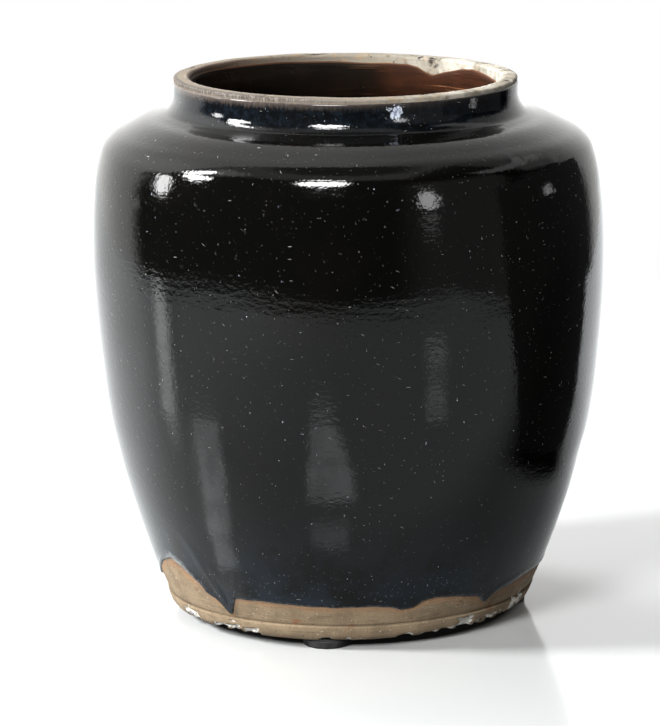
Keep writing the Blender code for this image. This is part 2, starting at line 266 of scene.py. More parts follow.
class PotShape:
    """The clay's outlines, worked out from the sizes."""

    def __init__(self, sizes):
        self.sizes = sizes
        self.foot_top = sizes.collar_height + sizes.groove_width
        self.root = sizes.belly_height + sizes.shoulder_rise
        self.top = self.root + sizes.neck_height
        self.wall = Line(self.wall_points())
        self.inside = Line(self.inside_points())

    def wall_points(self):
        """The outside from the top of the groove up to the bare lip."""
        s = self.sizes
        belly = (s.belly_radius, s.belly_height)
        neck = [(s.neck_radius, self.top - s.lining_drop), (s.neck_radius, self.top - s.lip_height)]
        return np.vstack((
            between(LOWER_WALL_SHARES, (s.collar_radius, self.foot_top), belly),
            between(SHOULDER_SHARES, (s.neck_radius, s.belly_height), (s.belly_radius, self.root)),
            between(ROOT_SHARES, (s.neck_radius, self.root), (s.neck_radius + s.root_spread, self.top)),
            neck,
        ))

    def foot_points(self):
        """The outside from the base's edge up to the groove."""
        s = self.sizes
        collar = between(COLLAR_SHARES, (s.base_radius, 0), (s.collar_radius, s.collar_height))
        middle = s.collar_height + s.groove_width / 2
        groove = [
            (s.collar_radius - s.groove_depth, middle - s.groove_width / 6),
            (s.collar_radius - s.groove_depth, middle + s.groove_width / 6),
        ]
        return np.vstack((collar, groove))

    def lip_points(self):
        """The bare lip: over its bead, across its land and down to the inside."""
        s = self.sizes
        middle = s.neck_radius - s.neck_wall / 2
        start = self.top - s.lip_height
        half_land = s.land_width / 2
        bead = (s.neck_radius + s.lip_bead, start + s.lip_bead)
        outer = between(LIP_SHARES, bead, (middle + half_land, self.top))
        inner = between(LIP_SHARES, (s.neck_radius - s.neck_wall, start), (middle - half_land, self.top))
        return np.vstack((outer, inner[::-1]))

    def inside_points(self):
        """The inside, from under the lip down the wall and round to the middle of the floor."""
        s = self.sizes
        wall = self.wall_points()[1:][::-1]
        share = np.clip((wall[:, 1] - s.belly_height) / s.shoulder_rise, 0, 1)
        depth = s.wall + (s.neck_wall - s.wall) * share
        inside = wall + square_to(wall) * depth[:, None]
        corner = inside[-1]
        turns = np.radians(np.arange(15, 91, 15))
        fillet = np.column_stack((
            corner[0] - s.floor_fillet * (1 - np.cos(turns)),
            corner[1] - (corner[1] - s.floor) * np.sin(turns),
        ))
        floor_run = np.linspace(fillet[-1, 0], 0, 8)[1:]
        floor = np.column_stack((floor_run, np.full(len(floor_run), s.floor)))
        return np.vstack((inside, fillet, floor))

    def place(self, turn, radius, height):
        """Points in space, with the foot's shift and the fall of the rim."""
        s = self.sizes
        below = np.clip(1 - height / s.belly_height, 0, None)
        above = np.clip((height - s.belly_height) / s.shoulder_rise, 0, 1)
        fall = s.rim_drop * above**2 * radius * np.cos(turn) / s.neck_radius
        return np.column_stack((
            -s.foot_shift * below**2 + radius * np.cos(turn),
            radius * np.sin(turn),
            STAND + height - fall,
        ))

    def hem_height(self, turn):
        """Height of the glaze's hem, rounded between its points and finely uneven."""
        angles, shares = np.array(HEM_SHARES).T
        fine = np.arange(-180, 180, 0.25)
        rises = np.interp(fine, angles, shares, period=360)
        spread = np.exp(-(np.arange(-6, 7) / 2.6) ** 2)
        spread /= spread.sum()
        rises = sum(weight * np.roll(rises, step) for weight, step in zip(spread, range(-6, 7)))
        height = self.foot_top + self.sizes.hem_rise * np.interp(np.degrees(turn), fine, rises, period=360)
        return height + 0.25 * MM * around(turn, 5, 110) + 0.3 * MM * around(turn, 6, 36)

    def hem_fuzz(self, turn):
        """How wide the glaze fades out along its hem."""
        runs = toward(turn, -147, 7) + toward(turn, -26, 15) + toward(turn, 70, 20)
        return MM * (1.1 + 3.2 * runs)


def waver(turn, height, seed, swells, step):
    """A smooth uneven field from -1 to 1: so many swells round the pot, one each step of mm in height."""
    step = step * MM
    grid = np.random.default_rng(seed).uniform(-1, 1, (int(0.4 / step) + 4, swells))
    across = np.mod(turn / math.tau, 1) * swells
    up = np.clip(height + 0.01, 0, 0.39) / step
    low_across, low_up = np.floor(across).astype(int), np.floor(up).astype(int)
    part_across, part_up = across - low_across, up - low_up
    part_across = part_across**2 * (3 - 2 * part_across)
    part_up = part_up**2 * (3 - 2 * part_up)
    near, far = low_across % swells, (low_across + 1) % swells
    lower = grid[low_up, near] * (1 - part_across) + grid[low_up, far] * part_across
    upper = grid[low_up + 1, near] * (1 - part_across) + grid[low_up + 1, far] * part_across
    return lower * (1 - part_up) + upper * part_up


def around(turn, seed, swells):
    """A smooth uneven field round the pot, the same at every height."""
    return waver(turn, 0 * turn, seed, swells, 1)


def rolled(distance, size):
    """A quarter-round edge, from 0 at the edge to 1 from one size on."""
    return np.sqrt(np.clip(1 - (1 - np.clip(distance / size, 0, 1)) ** 2, 0, 1))


def apart(turn, angle):
    """Degrees between directions and an angle."""
    return np.mod(np.degrees(turn) - angle + 180, 360) - 180


def bump(distance, half):
    """A smooth hump of height 1 that fades over a few half widths."""
    return np.exp(-(distance / half) ** 2)


def toward(turn, angle, half):
    """A smooth hump round the pot, at an angle and so many degrees half wide."""
    return bump(apart(turn, angle), half)


def fade(value, low, high):
    """A smooth step from 0 at low to 1 at high."""
    part = np.clip((value - low) / (high - low), 0, 1)
    return part**2 * (3 - 2 * part)


def hand_marks(turn, height):
    """How far the thrown wall swells and dips."""
    swell = 0.28 * MM * waver(turn, height, 1, 5, 70) + 0.05 * MM * waver(turn, height, 2, 7, 22)
    for angle, wide, level, tall, rise in WALL_LUMPS:
        swell = swell + rise * toward(turn, angle, wide) * bump(height - level, tall)
    return swell * fade(height, 0, 20 * MM)


def gathered(turn, angles, wide, gain):
    """Directions moved so that columns crowd round some angles."""
    fine = np.linspace(-math.pi, math.pi, 2881)
    crowd = 1 + sum(gain * toward(fine, angle, wide) for angle in angles)
    total = np.concatenate(([0.0], np.cumsum((crowd[1:] + crowd[:-1]) / 2)))
    return np.interp((turn + math.pi) / math.tau, total / total[-1], fine)


def steps_between(low, high, spacing):
    """Even steps from low up to, and not with, high."""
    return np.linspace(low, high, max(2, round((high - low) / spacing) + 1))[:-1]


def rows_through(ends, spacings):
    """Rows from the first of some places to the last, evenly spaced between each two."""
    return np.concatenate([steps_between(*run) for run in zip(ends, ends[1:], spacings)])


def deselect_all():
    """Leaves nothing selected."""
    bpy.ops.object.select_all(action="DESELECT")


def only(piece):
    """Makes one object the selected and active one."""
    deselect_all()
    piece.select_set(True)
    bpy.context.view_layer.objects.active = piece


@contextlib.contextmanager
def editing():
    """Edit mode on the active object."""
    bpy.ops.object.mode_set(mode="EDIT")
    yield
    bpy.ops.object.mode_set(mode="OBJECT")


def turned(name, outline, columns, close=False):
    """A piece turned round the axis from an outline that is drawn by extruding one vertex."""
    deselect_all()
    outline = [Vector((float(radius), 0, float(height))) for radius, height in outline]
    bpy.ops.mesh.primitive_plane_add(size=MM, location=outline[0])
    piece = bpy.context.object
    piece.name = piece.data.name = name
    bpy.ops.object.transform_apply(location=True, rotation=True, scale=True)
    with editing():
        bpy.ops.mesh.select_mode(type="VERT")
        bpy.ops.mesh.select_all(action="SELECT")
        bpy.ops.mesh.merge(type="CENTER")
        for before, after in zip(outline, outline[1:]):
            bpy.ops.mesh.extrude_region_move(TRANSFORM_OT_translate={"value": after - before})
    row = piece.data.attributes.new("row", "FLOAT", "POINT")
    row.data.foreach_set("value", np.arange(len(outline), dtype=np.float32))
    screw = piece.modifiers.new("turn", "SCREW")
    screw.axis = "Z"
    screw.angle = math.tau
    screw.steps = screw.render_steps = columns
    screw.use_merge_vertices = True
    screw.merge_threshold = 0.01 * MM
    bpy.ops.object.modifier_apply(modifier=screw.name)
    with editing():
        bpy.ops.mesh.select_all(action="SELECT")
        bpy.ops.mesh.remove_doubles(threshold=0.01 * MM)
        bpy.ops.mesh.delete_loose(use_verts=False, use_edges=True, use_faces=False)
        if close:
            bpy.ops.mesh.select_all(action="DESELECT")
            bpy.ops.mesh.select_non_manifold(extend=False)
            bpy.ops.mesh.bridge_edge_loops()
        bpy.ops.mesh.select_all(action="SELECT")
        bpy.ops.mesh.normals_make_consistent(inside=False)
    return piece


def sculpt(piece, rule):
    """Moves each vertex where the rule puts its direction and row, and keeps the rule's marks."""
    mesh = piece.data
    count = len(mesh.vertices)
    places = np.empty(count * 3)
    mesh.vertices.foreach_get("co", places)
    places = places.reshape(-1, 3)
    rows = np.empty(count)
    mesh.attributes["row"].data.foreach_get("value", rows)
    moved, marks = rule(np.arctan2(places[:, 1], places[:, 0]), rows.round().astype(int))
    mesh.vertices.foreach_set("co", moved.ravel())
    for name, values in marks.items():
        mark = mesh.attributes.new(name, "FLOAT", "POINT")
        mark.data.foreach_set("value", np.asarray(values, dtype=np.float32))
    mesh.attributes.remove(mesh.attributes["row"])
    mesh.update()


def finish_piece(piece, material, node, angle=60):
    """Smooth shading, its material, and what the piece stands for."""
    only(piece)
    bpy.ops.object.shade_smooth_by_angle(angle=math.radians(angle))
    piece.data.materials.clear()
    piece.data.materials.append(material)
    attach(piece, "root")
    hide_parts(node)


class Nodes:
    """A tree's nodes, added and joined by short calls."""

    def __init__(self, tree):
        self.nodes, self.links = tree.nodes, tree.links

    def put(self, socket, value):
        """Joins a socket to another, or sets its value."""
        if isinstance(value, bpy.types.NodeSocket):
            self.links.new(value, socket)
        elif socket.type == "RGBA" and len(value) == 3:
            socket.default_value = (*value, 1.0)
        else:
            socket.default_value = value

    def add(self, kind, *values, named=(), **settings):
        """A node with its settings, its first sockets' values and its named sockets' values."""
        node = self.nodes.new("ShaderNode" + kind)
        for name, value in settings.items():
            setattr(node, name, value)
        for socket, value in zip(node.inputs, values):
            self.put(socket, value)
        for name, value in named:
            self.put(node.inputs[name], value)
        return node

    def calc(self, operation, *values):
        """A sum on numbers."""
        return self.add("Math", *values, operation=operation).outputs[0]

    def times(self, value, *factors):
        """Numbers multiplied, one after another."""
        for factor in factors:
            value = self.calc("MULTIPLY", value, factor)
        return value

    def plus(self, *values):
        """Two numbers together."""
        return self.calc("ADD", *values)

    def less(self, *values):
        """One number less another."""
        return self.calc("SUBTRACT", *values)

    def larger(self, *values):
        """The larger of two numbers."""
        return self.calc("MAXIMUM", *values)

    def shaken(self, value, pattern, reach):
        """A value moved up and down by a pattern."""
        return self.plus(value, self.times(self.less(pattern, 0.5), reach))

    def blend(self, factor, first, second):
        """One number turning into another."""
        return self.calc("MULTIPLY_ADD", factor, self.less(second, first), first)

    def part(self, value, low, high, out_low=0.0, out_high=1.0):
        """A smooth step of a value between two levels."""
        return self.add(
            "MapRange", value, low, high, out_low, out_high, interpolation_type="SMOOTHSTEP").outputs[0]

    def axes(self, place):
        """The three parts of a place."""
        return self.add("SeparateXYZ", place).outputs


class Recipe(Nodes):
    """A material's nodes. Every pattern reads Object coordinates, and colours are laid over one another."""

    def __init__(self, name):
        self.material = bpy.data.materials.new(name)
        self.material.use_nodes = True
        super().__init__(self.material.node_tree)
        self.shader = self.nodes["Principled BSDF"]
        self.place = self.add("TexCoord").outputs["Object"]
        self.colour = None

    def set(self, **values):
        """Sets or joins the shader's own sockets."""
        for name, value in values.items():
            self.put(self.shader.inputs[name.replace("_", " ").title().replace("Ior", "IOR")], value)

    def mix(self, factor, first, second):
        """One colour turning into another."""
        node = self.add("Mix", factor, data_type="RGBA")
        colours = [socket for socket in node.inputs if socket.type == "RGBA"]
        self.put(colours[0], first)
        self.put(colours[1], second)
        return next(socket for socket in node.outputs if socket.type == "RGBA")

    def over(self, under, colour, pattern, strength=None):
        """A colour laid over another where a pattern says, at a strength."""
        factor = pattern if strength is None else self.times(pattern, strength)
        return self.mix(factor, under, colour)

    def lay(self, colour, pattern, strength=None):
        """Lays a colour over all that the material has so far."""
        self.colour = self.over(self.colour, colour, pattern, strength)

    def clear(self, factor):
        """Turns the surface see-through by a factor."""
        glass = self.add("BsdfTransparent").outputs[0]
        blend = self.add("MixShader", factor, self.shader.outputs[0], glass)
        out = next(node for node in self.nodes if node.type == "OUTPUT_MATERIAL")
        self.put(out.inputs["Surface"], blend.outputs[0])

    def turned_place(self, stretch, tilt):
        """Object coordinates, tilted and then stretched along each axis."""
        turn = tuple(math.radians(angle) for angle in tilt)
        named = (("Vector", self.place), ("Rotation", turn), ("Scale", stretch))
        return self.add("Mapping", vector_type="TEXTURE", named=named).outputs[0]

    def noise(self, size, detail=2.0, rough=0.5, stretch=(1, 1, 1), warp=0.0, tilt=(0, 0, 0)):
        """Cloudy noise whose swells are about so many mm across, longer where stretched."""
        named = (
            ("Vector", self.turned_place(stretch, tilt)), ("Scale", 1 / (size * MM)),
            ("Detail", detail), ("Roughness", rough), ("Distortion", warp))
        return self.add("TexNoise", named=named).outputs[0]

    def spots(self, size, share, radius, stretch=(1, 1, 1), tilt=(0, 0, 0)):
        """Round spots or dashes, one in a share of the cells, in mm, each of its own size."""
        named = (("Vector", self.turned_place(stretch, tilt)), ("Scale", 1 / (size * MM)))
        node = self.add("TexVoronoi", named=named)
        split = self.add("SeparateColor", node.outputs["Color"])
        chosen = self.calc("GREATER_THAN", split.outputs[0], 1 - share)
        reach = self.calc("MULTIPLY_ADD", split.outputs[1], radius * 0.7, radius * 0.3)
        return self.times(chosen, self.part(self.calc("DIVIDE", node.outputs["Distance"], reach), 1.0, 0.6))

    def mark(self, name):
        """A number kept on the mesh."""
        return self.add("Attribute", attribute_name=name).outputs["Fac"]

    def height(self):
        """Height above the table."""
        return self.axes(self.place)[2]

    def relief(self, *layers):
        """Fine relief from pairs of a pattern and its real depth in mm."""
        normal = ()
        for pattern, depth in layers:
            named = (("Strength", 1.0), ("Distance", abs(depth * MM)), ("Height", pattern), *normal)
            node = self.add("Bump", invert=depth < 0, named=named)
            normal = (("Normal", node.outputs[0]),)
        self.set(normal=node.outputs[0])


def clay_finish(colours):
    """Bare fired clay: sandy grain, throwing lines, iron stains, an orange flash and chalky breaks, with
    painted shade in the groove, along the bottom edge and on the underside.
    """
    r = Recipe("bare fired clay")
    cloud = r.noise(14, detail=6, rough=0.62)
    lines = r.noise(1.1, detail=3, rough=0.6, stretch=(18, 18, 1))
    sand = r.noise(0.9, detail=4, rough=0.75)
    r.colour = r.mix(r.part(cloud, 0.38, 0.66), colours.clay, r.mix(0.5, colours.clay, colours.dark_clay))
    r.lay(colours.dark_clay, r.part(lines, 0.52, 0.74), 0.55)
    r.lay(colours.dark_clay, r.part(sand, 0.53, 0.68), 0.70)
    below_hem = r.mark("below_hem")
    ragged = r.shaken(below_hem, cloud, 9 * MM)
    wide = r.mark("hem_fuzz")
    near_hem = r.part(r.less(ragged, wide), 3.6 * MM, -1.0 * MM)
    r.lay(colours.orange_clay, near_hem, r.part(sand, 0.35, 0.65, 0.80, 0.45))
    r.lay(colours.red_clay, r.part(r.noise(9, detail=5, rough=0.6, stretch=(1.6, 1.6, 1)), 0.60, 0.72), 0.7)
    pale_grain = r.spots(2.2, 0.35, 0.22)
    r.lay(colours.chalk, pale_grain, 0.7)
    dark_grain = r.spots(2.4, 0.55, 0.20)
    r.lay((0.035, 0.026, 0.020), dark_grain, 0.8)
    fuzz = r.shaken(below_hem, sand, 2.5 * MM)
    halo = r.part(r.calc("DIVIDE", fuzz, wide), 1.0, 0.0)
    r.lay((0.125, 0.130, 0.125), halo, 0.7)
    patches = r.part(r.noise(6, detail=5, rough=0.65, stretch=(1, 1, 0.7)), 0.50, 0.68)
    worn = r.mix(patches, colours.lip, colours.clay)
    worn = r.over(worn, colours.dark_clay, r.part(r.noise(3.5, detail=4), 0.60, 0.72), 0.8)
    worn = r.over(worn, (0.04, 0.03, 0.025), r.spots(3.0, 0.25, 0.24), 0.85)
    worn = r.over(worn, r.mix(r.part(cloud, 0.4, 0.6), colours.chalk, worn), r.mark("white_lip"), 0.50)
    worn = r.over(worn, r.mix(0.55, worn, (0.15, 0.10, 0.075)), r.mark("brown_lip"))
    flecks = r.noise(0.9, detail=3, rough=0.6, stretch=(1, 1, 3))
    stained = r.times(r.part(r.plus(r.mark("lip_side"), flecks), 0.85, 1.35), 0.85)
    stain = r.mix(r.part(flecks, 0.46, 0.60), (0.050, 0.044, 0.040), (0.185, 0.168, 0.150))
    worn = r.over(worn, stain, stained)
    crest = r.times(r.mark("lip_crest"), r.part(r.noise(2.2, detail=4, rough=0.7), 0.40, 0.56))
    worn = r.over(worn, colours.chalk, crest, 0.75)
    worn = r.over(worn, (0.085, 0.045, 0.028), r.mark("lip_inside"), 0.8)
    r.lay(worn, r.mark("lip"))
    crumbs = r.noise(2.4, detail=3, rough=0.55, warp=0.5)
    cracks = r.part(r.calc("ABSOLUTE", r.less(crumbs, 0.5)), 0.002, 0.022)
    broken = r.mix(cracks, (0.020, 0.015, 0.011), r.mix(0.5, colours.chalk, (1.0, 0.98, 0.93)))
    broken = r.over(broken, colours.clay, r.part(cloud, 0.52, 0.68), 0.35)
    ragged_chip = r.part(r.shaken(r.mark("chip"), sand, 0.9), 0.16, 0.34)
    r.lay(broken, ragged_chip)
    lip_break = r.times(r.part(r.mark("lip_break"), 0.25, 0.6), r.part(crumbs, 0.40, 0.56))
    r.lay((0.045, 0.035, 0.028), lip_break)
    # Painted shade in the groove round the foot
    r.lay((0.05, 0.036, 0.024), r.mark("groove"), 0.72)
    # Painted shade along the clay's lowest edge, next to the table
    under = r.part(r.height(), STAND + 1.6 * MM, STAND + 0.1 * MM)
    r.lay(colours.dark_clay, under, 0.35)
    # Painted shade: the clay's underside painted near-black
    r.lay((0.010, 0.008, 0.006), r.mark("underside_shade"))
    r.set(base_color=r.colour, roughness=r.part(sand, 0.3, 0.7, 0.74, 0.92), specular_ior_level=0.28)
    r.relief(
        (r.noise(5, detail=5, rough=0.6), 0.25), (lines, 0.22), (sand, 0.18),
        (dark_grain, -0.30), (pale_grain, 0.08), (r.times(cracks, ragged_chip), 0.45))
    return r.material


def coat_finish(colours):
    """Black-brown glaze: glossy, orange-peeled and pitted, blue where it pooled, thin at both edges, with a
    painted highlight on the neck.
    """
    r = Recipe("black brown glaze")
    above_hem, below_top = r.mark("above_hem"), r.mark("below_top")
    cloud = r.noise(20, detail=5, rough=0.6)
    fine = r.noise(2.6, detail=4, rough=0.65)
    pooled = r.part(r.shaken(above_hem, cloud, 60 * MM), 62 * MM, 4 * MM)
    neck_patch = r.part(r.noise(3.0, detail=5, rough=0.75, stretch=(1.3, 1.3, 1)), 0.42, 0.72, 0.15, 1.0)
    neck_patch = r.times(neck_patch, r.part(below_top, 19 * MM, 11 * MM))
    bloom = r.larger(r.times(pooled, r.part(cloud, 0.34, 0.62)), neck_patch)
    r.colour = r.mix(bloom, colours.black, colours.blue)
    warm = r.part(r.noise(45, detail=3), 0.45, 0.65)
    r.lay((0.0040, 0.0030, 0.0020), warm, 0.25)
    near_hem = r.part(above_hem, 30 * MM, 2 * MM)
    curds = r.times(r.spots(1.7, 0.30, 0.42), near_hem)
    r.lay((0.055, 0.085, 0.110), curds, 0.5)
    milky = r.times(r.part(r.noise(4, detail=5, rough=0.7), 0.58, 0.76), r.part(above_hem, 36 * MM, 6 * MM))
    r.lay((0.030, 0.045, 0.060), milky, 0.55)
    wide = r.mark("hem_fuzz")
    uneven = r.times(r.less(fine, 0.5), r.plus(wide, 2.6 * MM))
    ragged = r.calc("DIVIDE", r.plus(above_hem, uneven), wide)
    fringe = r.part(ragged, 1.5, 0.0)
    pale = r.mix(r.part(wide, 1.4 * MM, 4.2 * MM), colours.fringe, (0.165, 0.180, 0.185))
    r.lay(pale, fringe, 0.85)
    palest = r.times(r.part(ragged, 0.8, 0.0), r.part(wide, 1.6 * MM, 4.2 * MM, 0.0, 0.8))
    r.lay((0.30, 0.30, 0.28), palest)
    flecks = r.noise(1.1, detail=3, rough=0.6, stretch=(1, 1, 3.5))
    rim = r.shaken(below_top, flecks, 6 * MM)
    thin = r.part(rim, 4.6 * MM, -1.0 * MM)
    r.lay(colours.thin_brown, r.times(thin, r.mark("thin_side")))
    edge = r.part(r.shaken(below_top, fine, 1.6 * MM), 0.8 * MM, 0.1 * MM)
    r.lay((0.14, 0.118, 0.105), r.times(edge, r.mark("thin_side")))
    # Painted highlight: a bluish white patch on the neck that stands in for a lamp's reflection
    highlight_mottle = r.noise(1.5, detail=5, rough=0.75, stretch=(1, 1, 1.5))
    ragged_neck_highlight = r.shaken(r.mark("neck_highlight"), highlight_mottle, 2.6)
    neck_highlight = r.part(ragged_neck_highlight, 0.42, 0.60)
    r.lay(r.mix(r.part(highlight_mottle, 0.42, 0.56), (0.16, 0.20, 0.28), (0.62, 0.67, 0.77)), neck_highlight)
    dusty = r.part(r.noise(45, detail=3), 0.40, 0.62, 0.35, 1.0)
    dust = r.times(r.spots(2.7, 0.42, 0.12), dusty)
    fine_dust = r.times(r.spots(1.7, 0.36, 0.085), r.part(cloud, 0.40, 0.60, 0.2, 0.9))
    dots = r.larger(r.spots(8.5, 0.42, 0.055), fine_dust)
    level = r.spots(5.5, 0.16, 0.11, stretch=(2.6, 2.6, 0.35))
    slant = r.spots(5.0, 0.22, 0.10, stretch=(3.0, 3.0, 0.28), tilt=(24, 33, 0))
    steep = r.spots(5.0, 0.22, 0.10, stretch=(0.28, 0.28, 2.2), tilt=(-9, 14, 0))
    scratches = r.larger(level, r.larger(slant, steep))
    marks = r.larger(r.larger(dust, dots), r.times(scratches, 0.75))
    r.lay(colours.speck, marks)
    pits = r.spots(7, 0.28, 0.085)
    rough = r.part(r.noise(9, detail=4), 0.3, 0.75, 0.035, 0.085)
    for dull, level in ((marks, 0.55), (fringe, 0.30), (r.mark("cove"), 0.42)):
        rough = r.larger(rough, r.times(dull, level))
    r.set(base_color=r.colour, roughness=rough, ior=1.5)
    peel = r.noise(2.1, detail=2.2, rough=0.55, stretch=(1.4, 1.4, 1))
    grain = r.noise(0.9, detail=2, rough=0.5)
    throwing = r.noise(8, detail=3, rough=0.55, stretch=(7, 7, 1))
    ripples = r.noise(3, detail=2, rough=0.5, stretch=(5, 5, 1))
    r.relief(
        (throwing, 0.100), (ripples, 0.030), (peel, 0.080), (grain, 0.018), (pits, -0.10),
        (scratches, 0.03), (dust, 0.05))
    return r.material


def lining_finish(colours):
    """Red-brown inner glaze, darker in its level runs, with throwing rings under it, painted near-black as
    shade away from its lit right side.
    """
    r = Recipe("red brown glaze")
    rings = r.noise(3.2, detail=4, rough=0.6, stretch=(9, 9, 1))
    cloud = r.noise(24, detail=5, rough=0.6)
    # Painted shade: away from the lit right side the lining is painted near-black
    lit_inner_side = r.calc("MULTIPLY_ADD", r.less(cloud, 0.5), 0.5, r.mark("lit_inner_side"))
    r.colour = r.mix(r.part(rings, 0.44, 0.70, 0.0, 0.75), colours.red, colours.deep_red)
    r.lay((0.0072, 0.0056, 0.0042), r.part(lit_inner_side, 0.80, 0.30))
    r.lay(colours.deep_red, r.part(cloud, 0.45, 0.70), 0.6)
    # Pale streaks, laid only on the side painted as lit
    pale_streaks = r.times(r.part(r.noise(1.0, detail=2, stretch=(34, 34, 1)), 0.64, 0.74), 0.55)
    r.lay((0.30, 0.13, 0.06), r.times(pale_streaks, r.mark("lit_inner_side")))
    edge = r.part(r.mark("edge"), 1.2 * MM, 0.1 * MM)
    r.lay((0.16, 0.075, 0.040), edge, 0.6)
    dust = r.spots(5, 0.2, 0.08)
    r.lay((0.32, 0.24, 0.18), dust, 0.7)
    rolled = r.part(r.mark("edge"), 3.0 * MM, 1.0 * MM)
    rough = r.blend(rolled, r.part(cloud, 0.3, 0.7, 0.20, 0.34), 0.60)
    r.set(base_color=r.colour, roughness=rough, specular_ior_level=r.blend(rolled, 0.35, 0.08))
    r.relief((rings, 0.22), (r.noise(2.5, detail=2), 0.025))
    return r.material


def rubber_finish(colours):
    """Moulded black rubber with a fine grain and a little dust."""
    r = Recipe("moulded black rubber")
    grain = r.noise(0.35, detail=3, rough=0.6)
    dust = r.spots(1.1, 0.16, 0.16)
    r.colour = r.mix(r.part(r.noise(4, detail=4), 0.4, 0.7), colours.rubber, (0.030, 0.030, 0.031))
    r.lay((0.22, 0.21, 0.19), dust, 0.5)
    r.set(base_color=r.colour, roughness=r.part(grain, 0.3, 0.7, 0.42, 0.62))
    r.relief((grain, 0.03), (dust, 0.02))
    return r.material


def foam_finish(colours):
    """Adhesive foam with fine open cells, greyed in patches."""
    r = Recipe("adhesive foam")
    cells = r.spots(0.5, 0.8, 0.45)
    r.colour = r.mix(r.times(cells, 0.4), colours.foam, (0.30, 0.29, 0.26))
    r.lay((0.34, 0.32, 0.28), r.part(r.noise(3, detail=4), 0.5, 0.7))
    r.set(base_color=r.colour, roughness=r.part(cells, 0.0, 1.0, 0.78, 0.90))
    r.relief((cells, -0.05))
    return r.material


class PotOperator(bpy.types.Operator):
    """What the pot's operators share."""

    bl_options = {"REGISTER", "UNDO"}

    def pot(self, context):
        """The pot's sizes, colours and outlines."""
        return context.scene.pot_sizes, context.scene.pot_colours, PotShape(context.scene.pot_sizes)


